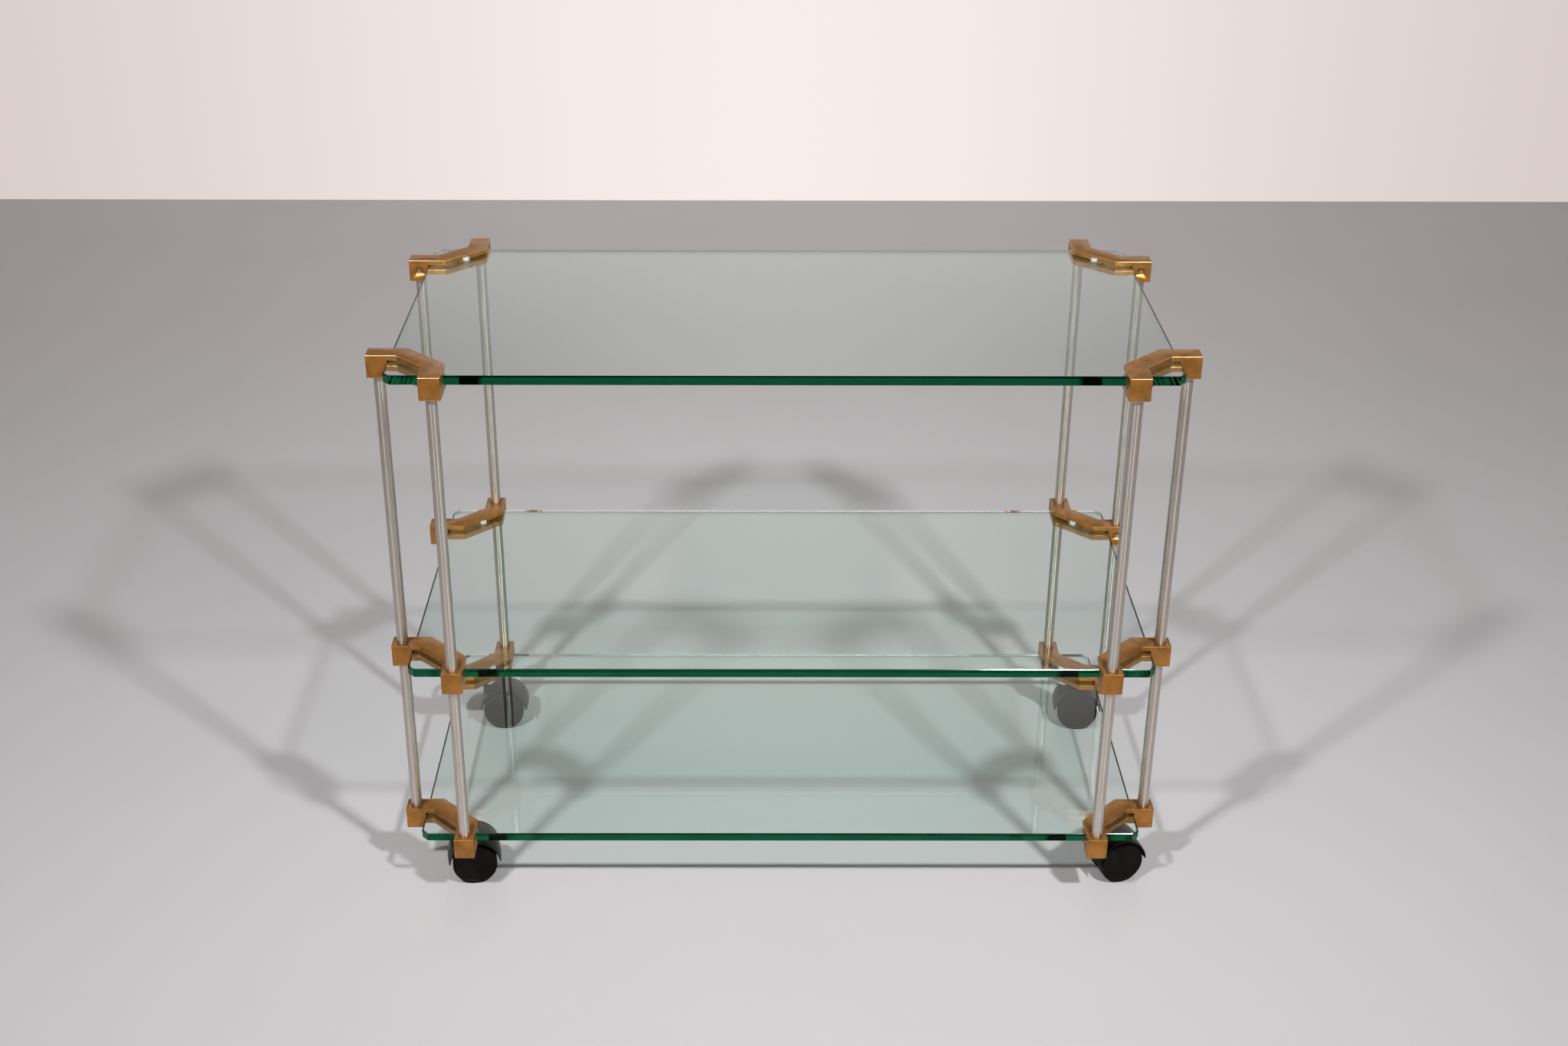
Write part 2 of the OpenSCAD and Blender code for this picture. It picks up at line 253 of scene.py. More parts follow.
def new_piece(name, rings, materials, body, node, band_material=None, sharp=40.0):
    """Puts a loft in the scene as one piece that stands for a node and rides on its body.

    band_material is the material's number for each band between two rings, and folds
    of more than sharp degrees stay sharp.
    """
    points, faces = loft(rings)
    mesh = bpy.data.meshes.new(name)
    mesh.from_pydata(points, [], faces)
    for material in materials:
        mesh.materials.append(material)
    if band_material is not None:
        index = np.repeat(band_material, rings.shape[1])
        mesh.polygons.foreach_set("material_index", np.concatenate([[0], index, [0]]).astype(np.int32))
    mesh.shade_smooth()
    mesh.set_sharp_from_angle(angle=math.radians(sharp))
    mesh.update()
    place(name, mesh, body, node)


def place(name, mesh, body, node):
    """Links a mesh as a piece that stands for a node."""
    piece = bpy.data.objects.new(name, mesh)
    bpy.context.scene.collection.objects.link(piece)
    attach(piece, body)
    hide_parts(node)
    return piece


def dress(node, name, is_rounded, radius, material, body):
    """Puts a copy of a node's shape in its place, with its edges rounded.

    The copy has its points joined, its flat faces in few convex parts, and a bevel on
    the edges for which is_rounded(edge) holds.
    """
    mesh = frame["nodes"][node].data.copy()
    mesh.name = name
    mesh.materials.clear()
    mesh.materials.append(material)
    work = bmesh.new()
    work.from_mesh(mesh)
    same_place, same_plane = 0.001 * MM, math.radians(0.5)
    bmesh.ops.remove_doubles(work, verts=work.verts, dist=same_place)
    bmesh.ops.dissolve_limit(work, angle_limit=same_plane, verts=work.verts, edges=work.edges)
    bmesh.ops.connect_verts_concave(work, faces=work.faces)
    weight = work.edges.layers.float.new("bevel_weight_edge")
    for edge in work.edges:
        edge[weight] = 1.0 if is_rounded(edge) else 0.0
    work.to_mesh(mesh)
    work.free()
    mesh.shade_smooth()
    piece = place(mesh.name, mesh, body, node)
    bevel = piece.modifiers.new("Rounded edges", "BEVEL")
    bevel.limit_method = "WEIGHT"
    bevel.width = radius
    bevel.segments = 3
    bevel.harden_normals = True
    bevel.miter_outer = "MITER_ARC"


def middle(node):
    """Centre of a node's box."""
    low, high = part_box(node)
    return (low + high) / 2


# ---- shader nodes ------------------------------------------------------------


def feed(tree, socket, value):
    """Gives an input either another socket's value or a plain number or colour."""
    if isinstance(value, NodeSocket):
        tree.links.new(value, socket)
    else:
        socket.default_value = value


def computed(tree, operation, *values):
    """Result of a Math node on numbers or sockets."""
    node = tree.nodes.new("ShaderNodeMath")
    node.operation = operation
    for socket, value in zip(node.inputs, values):
        feed(tree, socket, value)
    return node.outputs[0]


def mixed(tree, share, first, second):
    """A colour that goes from the first to the second as share goes from 0 to 1."""
    node = tree.nodes.new("ShaderNodeMix")
    node.data_type = "RGBA"
    for name, value in (("Factor", share), ("A", first), ("B", second)):
        feed(tree, node.inputs[name], value)
    return node.outputs["Result"]


def shader_mix(tree, share, first, second):
    """A shader that goes from the first to the second as share goes from 0 to 1."""
    node = tree.nodes.new("ShaderNodeMixShader")
    for socket, value in zip(node.inputs, (share, first, second)):
        tree.links.new(value, socket)
    return node.outputs["Shader"]


def ramped(tree, value, from_low, from_high, to_low, to_high):
    """Maps a value from one range to another, held at the ends."""
    node = tree.nodes.new("ShaderNodeMapRange")
    ends = {"From Min": from_low, "From Max": from_high, "To Min": to_low, "To Max": to_high}
    for name, number in {"Value": value, **ends}.items():
        feed(tree, node.inputs[name], number)
    return node.outputs["Result"]


def bell(tree, value, peak, width):
    """exp(-((value - peak) / width)^2), worked out as a power of exp(-1 / width^2)."""
    away = computed(tree, "SUBTRACT", value, peak)
    return computed(tree, "POWER", math.exp(-1 / width**2), computed(tree, "MULTIPLY", away, away))


def noise(tree, vector, scale, detail, roughness=0.5):
    """A noise texture on a vector socket. scale is a number or a socket."""
    node = tree.nodes.new("ShaderNodeTexNoise")
    node.inputs["Detail"].default_value = detail
    node.inputs["Roughness"].default_value = roughness
    feed(tree, node.inputs["Vector"], vector)
    feed(tree, node.inputs["Scale"], scale)
    return node.outputs["Fac"]


def object_place(tree):
    """The point's own place on its object."""
    return tree.nodes.new("ShaderNodeTexCoord").outputs["Object"]


def apart(tree, vector):
    """The X, Y and Z of a vector socket, as outputs by name."""
    node = tree.nodes.new("ShaderNodeSeparateXYZ")
    tree.links.new(vector, node.inputs["Vector"])
    return node.outputs


def seen_directly(tree):
    """1 where a surface is looked at, mirrored or seen through glass, and 0 for light's other ways."""
    path = tree.nodes.new("ShaderNodeLightPath").outputs
    seen = path["Is Camera Ray"]
    for kind in ("Is Glossy Ray", "Is Transmission Ray"):
        seen = computed(tree, "MAXIMUM", seen, path[kind])
    return seen


def rgba(rgb, share=1.0):
    """A four-part colour whose first three parts are those given, times share."""
    return (*(share * part for part in rgb), 1.0)


# ---- shared effects ----------------------------------------------------------

WHITE = (1.0, 1.0, 1.0, 1.0)
KINDS = {"colour": "NodeSocketColor", "number": "NodeSocketFloat", "vector": "NodeSocketVector"}


def effect(name, inputs, outputs):
    """An empty shader node group, and the sockets inside it that read and give its values.

    inputs are (name, kind, value) and outputs (name, kind).
    """
    group = bpy.data.node_groups.new(name, "ShaderNodeTree")
    for socket, kind, value in inputs:
        made = group.interface.new_socket(socket, in_out="INPUT", socket_type=KINDS[kind])
        made.default_value = value
    for socket, kind in outputs:
        group.interface.new_socket(socket, in_out="OUTPUT", socket_type=KINDS[kind])
    given, gives = group.nodes.new("NodeGroupInput"), group.nodes.new("NodeGroupOutput")
    return group, given.outputs, gives.inputs


def surface_effect(name, patterns, more_inputs=()):
    """An effect of two colours, roughness and relief.

    patterns(group, given) gives the share of the second colour, the pattern that the
    roughness follows and the relief. The roughness is its spread times that pattern
    plus its least value.
    """
    group, given, gives = effect(
        name,
        [
            ("Colour", "colour", WHITE), ("Second colour", "colour", WHITE),
            ("Roughness", "number", 0.3), ("Roughness spread", "number", 0.1), *more_inputs,
        ],
        [("Colour", "colour"), ("Roughness", "number"), ("Height", "number")],
    )
    share, dull, relief = patterns(group, given)
    tint = mixed(group, share, given["Colour"], given["Second colour"])
    rough = computed(group, "MULTIPLY_ADD", dull, given["Roughness spread"], given["Roughness"])
    for socket, value in (("Colour", tint), ("Roughness", rough), ("Height", relief)):
        group.links.new(value, gives[socket])
    return group


def clouded_effect():
    """Clouds of a second colour, over fine specks."""
    speck_scale = 1800.0
    thin, thick = 0.40, 0.68

    def patterns(group, given):
        at = object_place(group)
        clouds = noise(group, at, given["Cloud scale"], detail=4.0, roughness=0.6)
        specks = noise(group, at, speck_scale, detail=1.0)
        return ramped(group, clouds, thin, thick, 0.0, 1.0), clouds, specks

    return surface_effect("Clouded finish", patterns, [("Cloud scale", "number", 60.0)])


def ground_effect():
    """Fine rings round Z, as centreless grinding leaves on a rod, and faint stains."""
    ring_scale, stain_scale = 2200.0, 35.0
    thin, thick, most_stain = 0.45, 0.75, 0.35
    flattened = (0.02, 0.02, 1.0)

    def patterns(group, given):
        at = object_place(group)
        stretch = group.nodes.new("ShaderNodeMapping")
        stretch.inputs["Scale"].default_value = flattened
        group.links.new(at, stretch.inputs["Vector"])
        rings = noise(group, stretch.outputs["Vector"], ring_scale, detail=2.0)
        stains = noise(group, at, stain_scale, detail=4.0, roughness=0.65)
        return ramped(group, stains, thin, thick, 0.0, most_stain), rings, rings

    return surface_effect("Ground finish", patterns)


def edge_effect():
    """Edges shaded as if rounded, with bright metal rubbed free and a painted highlight along them.

    The share of that bright colour is the given amount times a ramp over n . m, where n is the
    surface's own normal and m the rounded one.
    """
    group, given, gives = effect(
        "Worn and highlighted edges",
        [
            ("Colour", "colour", WHITE), ("Worn colour", "colour", WHITE),
            ("Wear", "number", 1.0), ("Radius", "number", 1 * MM),
        ],
        [("Colour", "colour"), ("Normal", "vector")],
    )
    rounding = group.nodes.new("ShaderNodeBevel")
    rounding.samples = 8
    group.links.new(given["Radius"], rounding.inputs["Radius"])
    turn = group.nodes.new("ShaderNodeVectorMath")
    turn.operation = "DOT_PRODUCT"
    group.links.new(rounding.outputs["Normal"], turn.inputs[0])
    group.links.new(group.nodes.new("ShaderNodeNewGeometry").outputs["Normal"], turn.inputs[1])
    # a lighter colour painted where the normal turns: rubbed metal and a painted highlight along the edges
    bright_edge, plain_face = 0.93, 0.995
    share = ramped(group, turn.outputs["Value"], bright_edge, plain_face, given["Wear"], 0.0)
    tint = mixed(group, share, given["Colour"], given["Worn colour"])
    group.links.new(tint, gives["Colour"])
    group.links.new(rounding.outputs["Normal"], gives["Normal"])
    return group


# ---- finishes ----------------------------------------------------------------


def blank_material(name):
    """A material with only its Principled shader and its output."""
    material = bpy.data.materials.new(name)
    material.use_nodes = True
    return material, material.node_tree, material.node_tree.nodes["Principled BSDF"]


def placed_effect(tree, group, values):
    """An effect's node in a material, with the material's own values."""
    node = tree.nodes.new("ShaderNodeGroup")
    node.node_tree = group
    for socket, value in values.items():
        node.inputs[socket].default_value = value
    return node


def finished(name, group, tone, second, roughness, spread, relief, cloud_scale=None, **settings):
    """A material whose colour, roughness and relief come from a surface effect.

    tone and second are its two colours, relief is the bump's strength and distance,
    and settings are plain values of the Principled shader, with _ for a space.
    """
    material, tree, shader = blank_material(name)
    for socket, value in settings.items():
        shader.inputs[socket.replace("_", " ")].default_value = value
    values = {"Colour": tone, "Second colour": second, "Roughness": roughness, "Roughness spread": spread}
    if cloud_scale is not None:
        values["Cloud scale"] = cloud_scale
    node = placed_effect(tree, group, values)
    bump = tree.nodes.new("ShaderNodeBump")
    bump.inputs["Strength"].default_value, bump.inputs["Distance"].default_value = relief
    tree.links.new(node.outputs["Colour"], shader.inputs["Base Color"])
    tree.links.new(node.outputs["Roughness"], shader.inputs["Roughness"])
    tree.links.new(node.outputs["Height"], bump.inputs["Height"])
    tree.links.new(bump.outputs["Normal"], shader.inputs["Normal"])
    return material


def with_edges(material, group, values):
    """Passes a finished material's colour and relief through an edge effect."""
    tree = material.node_tree
    base = tree.nodes["Principled BSDF"].inputs["Base Color"]
    node = placed_effect(tree, group, values)
    tree.links.new(base.links[0].from_socket, node.inputs["Colour"])
    tree.links.new(node.outputs["Colour"], base)
    tree.links.new(node.outputs["Normal"], tree.nodes["Bump"].inputs["Normal"])


def with_grain(material):
    """Turns a finished material's gloss round Z, so that it runs along an upright rod."""
    tree = material.node_tree
    grain = tree.nodes.new("ShaderNodeTangent")
    grain.direction_type, grain.axis = "RADIAL", "Z"
    tree.links.new(grain.outputs["Tangent"], tree.nodes["Principled BSDF"].inputs["Tangent"])


def glass_material(name, tint, roughness, passes, mirrors=(1.0, 1.0, 1.0)):
    """Clear glass that tints light by the way it has gone.

    Light on its way from a lamp or to a dull surface goes straight through each face,
    less what the face keeps back. mirrors tints what the face mirrors head on.
    """
    bending, density = 1.52, 12.0
    _, tree, shader = blank_material(name)
    for socket, value in (
        ("Base Color", WHITE), ("Transmission Weight", 1.0), ("Roughness", roughness),
        ("IOR", bending), ("Specular Tint", rgba(mirrors)),
    ):
        shader.inputs[socket].default_value = value
    clear = tree.nodes.new("ShaderNodeBsdfTransparent")
    clear.inputs["Color"].default_value = rgba(passes)
    path = tree.nodes.new("ShaderNodeLightPath").outputs
    surface = shader.outputs["BSDF"]
    for kind in ("Is Diffuse Ray", "Is Shadow Ray"):
        surface = shader_mix(tree, path[kind], surface, clear.outputs["BSDF"])
    volume = tree.nodes.new("ShaderNodeVolumeAbsorption")
    volume.inputs["Color"].default_value = rgba(tint)
    volume.inputs["Density"].default_value = density
    output = tree.nodes["Material Output"]
    tree.links.new(surface, output.inputs["Surface"])
    tree.links.new(volume.outputs["Volume"], output.inputs["Volume"])


def finishes():
    """Every material of the trolley and its floor by name, made on the first call."""
    if "Satin brass" in bpy.data.materials:
        return {m.name: m for m in bpy.data.materials}
    tones, sizes = bpy.context.scene.trolley_colours, bpy.context.scene.trolley_sizes
    clouded, ground, edges = clouded_effect(), ground_effect(), edge_effect()
    # the second brass carries a lighter colour along its edges: rubbed metal and a painted highlight
    for name, wear_and_highlight in (("Satin brass", 0.0), ("Worn brass", 1.0)):
        brass = finished(
            name, clouded, rgba(tones.brass), rgba(tones.brass_dark), cloud_scale=70.0,
            roughness=0.34, spread=0.12, relief=(0.10, 0.05 * MM),
            Metallic=0.8, Coat_Weight=0.15, Coat_Roughness=0.22,
        )
        worn_and_highlight = rgba(tones.brass_worn_and_highlight)
        with_edges(brass, edges, {"Worn colour": worn_and_highlight, "Wear": wear_and_highlight, "Radius": sizes.bracket_edge})
    steel = finished(
        "Satin steel", ground, rgba(tones.steel), rgba(tones.steel, 0.72),
        roughness=0.215, spread=0.02, relief=(0.01, 0.02 * MM),
        Metallic=0.9, Anisotropic=1.0, Anisotropic_Rotation=0.25,
    )
    with_grain(steel)
    finished(
        "Bright zinc", clouded, rgba(tones.zinc), rgba(tones.zinc, 0.8), cloud_scale=120.0,
        roughness=0.20, spread=0.10, relief=(0.10, 0.05 * MM), Metallic=1.0,
    )
    finished(
        "Black hood plastic", clouded, rgba(tones.plastic), rgba(tones.plastic, 1.5), cloud_scale=40.0,
        roughness=0.26, spread=0.12, relief=(0.25, 0.04 * MM), Specular_IOR_Level=0.12,
    )
    finished(
        "Black wheel plastic", clouded, rgba(tones.plastic, 0.9), rgba(tones.plastic, 1.6),
        cloud_scale=90.0, roughness=0.34, spread=0.16, relief=(0.35, 0.05 * MM),
        Specular_IOR_Level=0.06,
    )
    finished(
        "Clear pad", clouded, rgba(tones.pad), rgba(tones.pad, 0.9), cloud_scale=200.0,
        roughness=0.22, spread=0.10, relief=(0.05, 0.04 * MM), Transmission_Weight=0.55, IOR=1.45,
    )
    finished(
        "floor paint", clouded, rgba(tones.floor), rgba(tones.floor, 0.985), cloud_scale=3.0,
        roughness=0.34, spread=0.06, relief=(0.02, 0.1 * MM), Specular_IOR_Level=0.58,
    )
    cut_edge = (0.25, 0.34, 0.31)
    glass_material("Float glass", tones.glass_tint, 0.0, (0.955, 0.955, 0.955))
    glass_material("Polished glass edge", tones.glass_tint, 0.02, cut_edge, (0.10, 0.22, 0.17))
    glass_material("Ground glass arris", tones.glass_tint, 0.12, cut_edge, (0.9, 0.95, 0.95))
    return {m.name: m for m in bpy.data.materials}


# ---- pieces ------------------------------------------------------------------


class TROLLEY_OT_glass(Operator):
    """Makes the three glass shelves with clipped corners and ground arrises"""

    bl_idname = "trolley.glass"
    bl_label = "Glass Shelves"

    def execute(self, context):
        sizes, paint = context.scene.trolley_sizes, finishes()
        kinds = ("Float glass", "Polished glass edge", "Ground glass arris")
        materials = [paint[kind] for kind in kinds]
        arris, clip = sizes.glass_arris, sizes.glass_clip
        for level in LEVELS:
            low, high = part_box(f"{level}_shelf")
            x, y = high.x, high.y
            outline = np.array([
                [-x + clip, -y], [x - clip, -y], [x, -y + clip], [x, y - clip],
                [x - clip, y], [-x + clip, y], [-x, y - clip], [-x, -y + clip],
            ])
            flat = inset(outline, [arris, 0.0, 0.0, arris])
            heights = np.array([low.z, low.z + arris, high.z - arris, high.z])
            rings = np.concatenate(
                [flat, np.broadcast_to(heights[:, None, None], (*flat.shape[:2], 1))], axis=2
            )
            new_piece(
                f"{level}_glass", rings, materials, "frame", f"{level}_shelf",
                band_material=[2, 1, 2], sharp=1.0,
            )
        return {"FINISHED"}


class TROLLEY_OT_brackets(Operator):
    """Dresses the twelve corner brackets in satin brass, rubbed bright and with a painted highlight along
    the top ones' edges
    """

    bl_idname = "trolley.brackets"
    bl_label = "Corner Brackets"

    def execute(self, context):
        sizes, paint = context.scene.trolley_sizes, finishes()
        for level, end, side in LEVEL_CORNERS:
            corner = f"{level}_{end}_{side}"
            rods = [middle(f"{end}_{side}_{line}_rod") for line in ("side", end)]
            # the top brackets get the lighter edge colour: rubbed metal and a painted highlight
            finish = paint["Worn brass" if level == "top" else "Satin brass"]
            dress(
                f"{corner}_bracket", f"{corner}_brass", bracket_outline(rods, middle(f"{corner}_pad")),
                sizes.bracket_edge, finish, "frame",
            )
        return {"FINISHED"}


def bracket_outline(rods, pad):
    """A test for a bracket's sharp edges that leaves out those round its holes.

    An edge round a hole is short, and lies near a rod's axis or near the pad's, which
    takes in the seat of the pad and the hole in the lower jaw.
    """
    fold, short = math.radians(30.0), 2 * MM
    rod_reach, pad_reach = 12 * MM, 14 * MM

    def is_rounded(edge):
        at = ((edge.verts[0].co + edge.verts[1].co) / 2).xy
        in_hole = edge.calc_length() < short and (
            min((at - rod.xy).length for rod in rods) < rod_reach or (at - pad.xy).length < pad_reach
        )
        return edge.calc_face_angle(0.0) >= fold and not in_hole

    return is_rounded


class TROLLEY_OT_rods(Operator):
    """Makes the eight satin steel rods with chamfered ends"""

    bl_idname = "trolley.rods"
    bl_label = "Upright Rods"

    def execute(self, context):
        cut, steel = context.scene.trolley_sizes.rod_chamfer, finishes()["Satin steel"]
        for end, side in CORNERS:
            for line in ("side", end):
                node = f"{end}_{side}_{line}_rod"
                low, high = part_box(node)
                r, tall = (high.x - low.x) / 2, high.z - low.z
                profile = [(r - cut, 0.0), (r, cut), (r, tall - cut), (r - cut, tall)]
                foot = Vector(((low.x + high.x) / 2, (low.y + high.y) / 2, low.z))
                new_piece(
                    f"{node}_steel", turned(profile, foot, UP, around=64), [steel],
                    "frame", node,
                )
        return {"FINISHED"}


class TROLLEY_OT_pads(Operator):
    """Makes the clear pads between the glass and the upper jaws"""

    bl_idname = "trolley.pads"
    bl_label = "Clear Pads"

    def execute(self, context):
        crown, clear = context.scene.trolley_sizes.pad_crown, finishes()["Clear pad"]
        eye, foot_edge = 0.2 * MM, 0.5 * MM
        for level, end, side in LEVEL_CORNERS:
            node = f"{level}_{end}_{side}_pad"
            low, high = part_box(node)
            r, tall = (high.x - low.x) / 2, high.z - low.z
            profile = softened(
                [(eye, 0.0), (r, 0.0), (r, tall), (eye, tall)], [0.0, foot_edge, crown, 0.0]
            )
            foot = Vector((*middle(node).xy, low.z))
            new_piece(
                f"{node}_clear", turned(profile, foot, UP, around=48), [clear],
                "frame", node,
            )
        return {"FINISHED"}


class TROLLEY_OT_hardware(Operator):
    """Gives the screws, stems, snap rings and axles their zinc plating"""

    bl_idname = "trolley.hardware"
    bl_label = "Screws, Stems and Axles"

    def execute(self, context):
        zinc = finishes()["Bright zinc"]
        names = ["top_clamp_screws", "middle_clamp_screws", "rod_grub_screws", "caster_snap_rings"]
        for end, side in CORNERS:
            names += [f"{end}_{side}_caster_stem", f"{end}_{side}_caster_axle"]
        for name in names:
            mesh = frame["nodes"][name].data
            mesh.materials.clear()
            mesh.materials.append(zinc)
        return {"FINISHED"}


class TROLLEY_OT_hoods(Operator):
    """Dresses the four caster hoods in black plastic with rounded edges"""

    bl_idname = "trolley.hoods"
    bl_label = "Caster Hoods"

    def execute(self, context):
        sizes, plastic = context.scene.trolley_sizes, finishes()["Black hood plastic"]
        fold = math.radians(35.0)
        for end, side in CORNERS:
            dress(
                f"{end}_{side}_caster_hood", f"{end}_{side}_hood_shell",
                lambda edge: edge.calc_face_angle(0.0) > fold, sizes.hood_edge, plastic,
                f"{end}_{side}_caster",
            )
        return {"FINISHED"}


class TROLLEY_OT_wheels(Operator):
    """Makes the eight wheels: hub, hollow inner side, tread, and a dished face with a raised ring"""

    bl_idname = "trolley.wheels"
    bl_label = "Caster Wheels"

    def execute(self, context):
        sizes, plastic = context.scene.trolley_sizes, finishes()["Black wheel plastic"]
        joints = {joint["child"]: joint for joint in frame["joints"]}
        for end, side in CORNERS:
            for name, outwards in (("near", -1), ("far", 1)):
                node = f"{end}_{side}_{name}_wheel"
                axis = outwards * Vector(joints[node]["axis"])
                centre = Vector(joints[node]["pos_m"])
                radius, inner, outer = wheel_room(node, centre, axis)
                profile = wheel_profile(sizes, radius, outer - inner)
                new_piece(
                    f"{node}_disc", turned(profile, centre + inner * axis, axis, around=128),
                    [plastic], node, node, sharp=50.0,
                )
        return {"FINISHED"}


def wheel_room(node, centre, axis):
    """Radius of a wheel's node and its nearest and farthest reach along the axis."""
    mesh = frame["nodes"][node].data
    points = np.empty(len(mesh.vertices) * 3, np.float32)
    mesh.vertices.foreach_get("co", points)
    away = points.reshape(-1, 3) - np.array(centre)
    along = away @ np.array(axis)
    radial = np.linalg.norm(away - along[:, None] * np.array(axis), axis=1)
    return float(radial.max()), float(along.min()), float(along.max())


def wheel_profile(sizes, radius, wide):
    """Half section of a wheel as (r, h), from the bottom of its blind hub bore out over
    the hub, the hollow, the tread and the ring to the pip in the middle of the face."""
    eye, bore, hub, pip = 0.2 * MM, 3.05 * MM, 7.5 * MM, 1.3 * MM
    rim_in, ring_in = radius - 3.5 * MM, radius - sizes.wheel_ring
    floor, bore_end = wide - 3.9 * MM, wide - 4.0 * MM
    face, ring_slope = wide - sizes.wheel_dish, 0.6 * MM
    pip_edge, pip_top = face + 0.35 * MM, face + 0.4 * MM
    small, inner_edge, edge = 0.3 * MM, 0.8 * MM, sizes.wheel_edge
    corners = [
        (eye, bore_end, 0.0), (bore, bore_end, small), (bore, 0.0, small), (hub, 0.0, small),
        (hub, floor, small), (rim_in, floor, small), (rim_in, 0.0, small), (radius, 0.0, inner_edge),
        (radius, wide, edge), (ring_in, wide, small), (ring_in - ring_slope, face, small),
        (pip, face, small), (0.7 * pip, pip_edge, small), (eye, pip_top, 0.0),
    ]
    r, h, reach = zip(*corners)
    return softened(list(zip(r, h)), reach)


# ---- stage -------------------------------------------------------------------


def stage_sheet(name, corners, material):
    """A large flat sheet marked as stage."""
    mesh = bpy.data.meshes.new(name)
    mesh.from_pydata(corners, [], [(0, 1, 2, 3)])
    mesh.materials.append(material)
    sheet = bpy.data.objects.new(name, mesh)
    bpy.context.scene.collection.objects.link(sheet)
    sheet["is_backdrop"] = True


def wall_material(tone, shaded_tone):
    """Pale wall, drawn as a glow with a painted pool of light: brightest in the middle
    and painted darker to both sides by exp(-(x / 1.3 m)^2).

    Above the part that the camera sees directly a painted shade darkens it, deepest far
    to the sides, so that the glass mirrors it as darker than it looks.
    """
    lit_width, shade_middle, shade_width = 1.3, 0.10, 0.9
    shade_at_sides, shade_in_middle = 0.19, 0.70
    shade_from, shade_full = 1.22, 1.64
    material, tree, shader = blank_material("wall paint")
    shader.inputs["Base Color"].default_value = rgba(tone, 0.9)
    shader.inputs["Roughness"].default_value = 0.8
    at = apart(tree, object_place(tree))
    # painted light: the wall's colour is lit in the middle and painted in shade to the sides
    tint = mixed(tree, bell(tree, at["X"], 0.0, lit_width), rgba(shaded_tone), rgba(tone))
    across = bell(tree, at["X"], shade_middle, shade_width)
    shade = ramped(tree, across, 0.0, 1.0, shade_at_sides, shade_in_middle)
    # the wall glows for the camera, mirrors and glass: painted light, with painted shade above
    glow = tree.nodes.new("ShaderNodeEmission")
    tree.links.new(tint, glow.inputs["Color"])
    tree.links.new(ramped(tree, at["Z"], shade_from, shade_full, 1.0, shade), glow.inputs["Strength"])
    surface = shader_mix(tree, seen_directly(tree), shader.outputs["BSDF"], glow.outputs["Emission"])
    tree.links.new(surface, tree.nodes["Material Output"].inputs["Surface"])
    return material


def soft_lamp(name, at, towards, energy, settings):
    """A square lamp that faces a point."""
    data = bpy.data.lights.new(name, "AREA")
    data.energy = energy
    data.size = settings.lamp_size
    data.spread = settings.lamp_spread
    lamp = bpy.data.objects.new(name, data)
    lamp.location = at
    lamp.rotation_euler = (Vector(towards) - Vector(at)).to_track_quat("-Z", "Y").to_euler()
    bpy.context.scene.collection.objects.link(lamp)
    return lamp


def add_lamps(settings):
    """Two soft lamps where the double shadows place them, and a long one for the gleam.

    The gleam lamp is mirrored in the arris of the middle shelf's front edge, and lights
    no dull surface.
    """
    behind, arris = (0.0, 1.0, 0.0), (0.256, -0.2, 0.29)
    for name, at, share in (
        ("left_lamp", (-1.01, -1.55, 2.03), 0.92), ("right_lamp", (0.96, -1.55, 2.06), 1.08),
    ):
        soft_lamp(name, at, behind, share * settings.lamp_power, settings)
    gleam = soft_lamp("gleam", (0.56, -1.114, 1.9), arris, settings.gleam_power, settings)
    gleam.data.shape, gleam.data.size, gleam.data.size_y = "RECTANGLE", 0.26, 0.05
    gleam.visible_diffuse = False


def surrounding_light(settings, tone):
    """Even light from all round.

    Seen directly, mirrored or through glass it is the wall's colour, and dark overhead.
    """
    low_rise, low_strength = 0.12, 0.75
    high_rise, high_strength = 0.42, 0.14
    world = bpy.data.worlds.new("Pale room")
    bpy.context.scene.world = world
    world.use_nodes = True
    tree = world.node_tree
    light = tree.nodes["Background"]
    light.inputs["Color"].default_value = (1.0, 0.985, 0.975, 1.0)
    light.inputs["Strength"].default_value = settings.ambient
    seen = tree.nodes.new("ShaderNodeBackground")
    seen.inputs["Color"].default_value = rgba(tone)
    rise = apart(tree, tree.nodes.new("ShaderNodeTexCoord").outputs["Generated"])["Z"]
    strength = ramped(tree, rise, low_rise, high_rise, low_strength, high_strength)
    tree.links.new(strength, seen.inputs["Strength"])
    surface = shader_mix(
        tree, seen_directly(tree), light.outputs["Background"], seen.outputs["Background"]
    )
    tree.links.new(surface, tree.nodes["World Output"].inputs["Surface"])


def add_camera(settings):
    """Camera at the photograph's place, 27.6 degrees down, with its off-centre frame as shift."""
    at = (-0.0339, -2.10795, 1.3735)
    down, turn, roll = 0.4822, 0.0046, 0.0031
    ahead = Vector((math.sin(turn) * math.cos(down), math.cos(turn) * math.cos(down), -math.sin(down)))
    across = Vector((math.cos(turn), -math.sin(turn), 0.0))
    up = across.cross(ahead)
    right = math.cos(roll) * across + math.sin(roll) * up
    upright = math.cos(roll) * up - math.sin(roll) * across
    data = bpy.data.cameras.new("camera")
    data.lens = settings.focal_length
    data.shift_x, data.shift_y = 0.0161, 0.0484
    camera = bpy.data.objects.new("camera", data)
    turned_to = Matrix((right, upright, -ahead)).transposed().to_4x4()
    camera.matrix_world = Matrix.Translation(at) @ turned_to
    bpy.context.scene.collection.objects.link(camera)
    bpy.context.scene.camera = camera


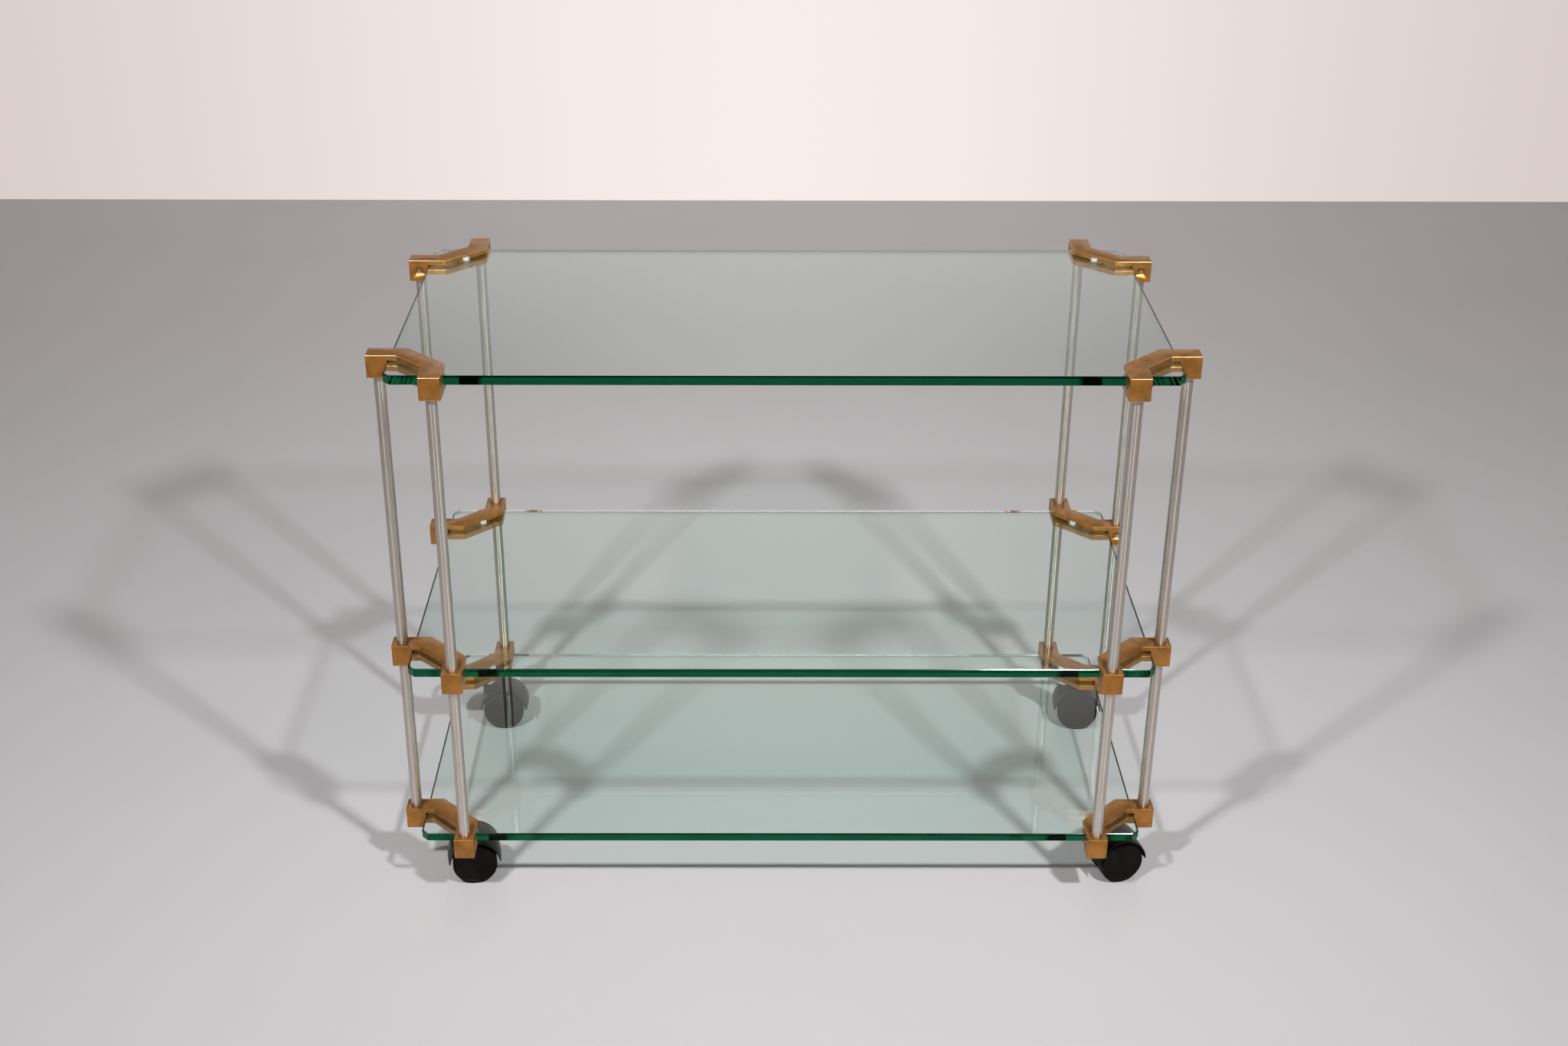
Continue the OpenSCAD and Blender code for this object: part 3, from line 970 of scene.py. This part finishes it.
class TROLLEY_OT_stage(Operator):
    """Makes the floor, the wall, the lamps, the light all round and the camera"""

    bl_idname = "trolley.stage"
    bl_label = "Stage and Camera"

    def execute(self, context):
        scene = context.scene
        settings, tones = scene.trolley_stage, scene.trolley_colours
        reach, wall_y, wall_top = 9.0, 2.48, 4.0
        foot = [(-reach, wall_y, 0), (reach, wall_y, 0)]
        stage_sheet(
            "floor", [(-reach, -reach, 0), (reach, -reach, 0), *foot[::-1]], finishes()["floor paint"]
        )
        stage_sheet(
            "wall", [*foot, (reach, wall_y, wall_top), (-reach, wall_y, wall_top)],
            wall_material(tones.wall, tones.wall_shaded_sides),
        )
        add_lamps(settings)
        surrounding_light(settings, tones.wall)
        add_camera(settings)
        scene.view_settings.view_transform = "Standard"
        # light crosses a shelf from edge to edge by mirroring in its two faces
        crossing = 40
        scene.cycles.max_bounces = crossing
        scene.cycles.transmission_bounces = crossing
        scene.cycles.glossy_bounces = crossing
        scene.cycles.transparent_max_bounces = crossing
        scene.cycles.diffuse_bounces = 4
        return {"FINISHED"}


# ---- sidebar and start -------------------------------------------------------

PIECE_OPERATORS = (
    TROLLEY_OT_glass, TROLLEY_OT_brackets, TROLLEY_OT_rods, TROLLEY_OT_pads,
    TROLLEY_OT_hardware, TROLLEY_OT_hoods, TROLLEY_OT_wheels, TROLLEY_OT_stage,
)
GROUPS = {
    "trolley_sizes": TrolleySizes, "trolley_colours": TrolleyColours, "trolley_stage": StageSettings,
}


class TROLLEY_PT_sidebar(Panel):
    """Lists the trolley's settings and the pieces that it is made of"""

    bl_label = "Serving Trolley"
    bl_idname = "TROLLEY_PT_sidebar"
    bl_space_type = "VIEW_3D"
    bl_region_type = "UI"
    bl_category = "Trolley"

    def draw(self, context):
        for attribute, group in GROUPS.items():
            box = self.layout.box()
            for name in group.__annotations__:
                box.prop(getattr(context.scene, attribute), name)
        for operator in PIECE_OPERATORS:
            self.layout.operator(operator.bl_idname)


CLASSES = (*GROUPS.values(), *PIECE_OPERATORS, TROLLEY_PT_sidebar)


def register():
    for kind in CLASSES:
        bpy.utils.register_class(kind)
    for attribute, group in GROUPS.items():
        setattr(bpy.types.Scene, attribute, PointerProperty(type=group))


def unregister():
    for attribute in GROUPS:
        delattr(bpy.types.Scene, attribute)
    for kind in reversed(CLASSES):
        bpy.utils.unregister_class(kind)


def main():
    register()
    for thing in list(bpy.context.scene.collection.all_objects):
        if thing.name in ("Cube", "Light", "Camera"):
            bpy.data.objects.remove(thing)
    for operator in PIECE_OPERATORS:
        category, name = operator.bl_idname.split(".")
        getattr(getattr(bpy.ops, category), name)()
    boxes = {"cad": CAD_BOX, "visual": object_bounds()}
    {name: [list(corner) for corner in box] for name, box in boxes.items()}


if __name__ == "__main__":
    main()
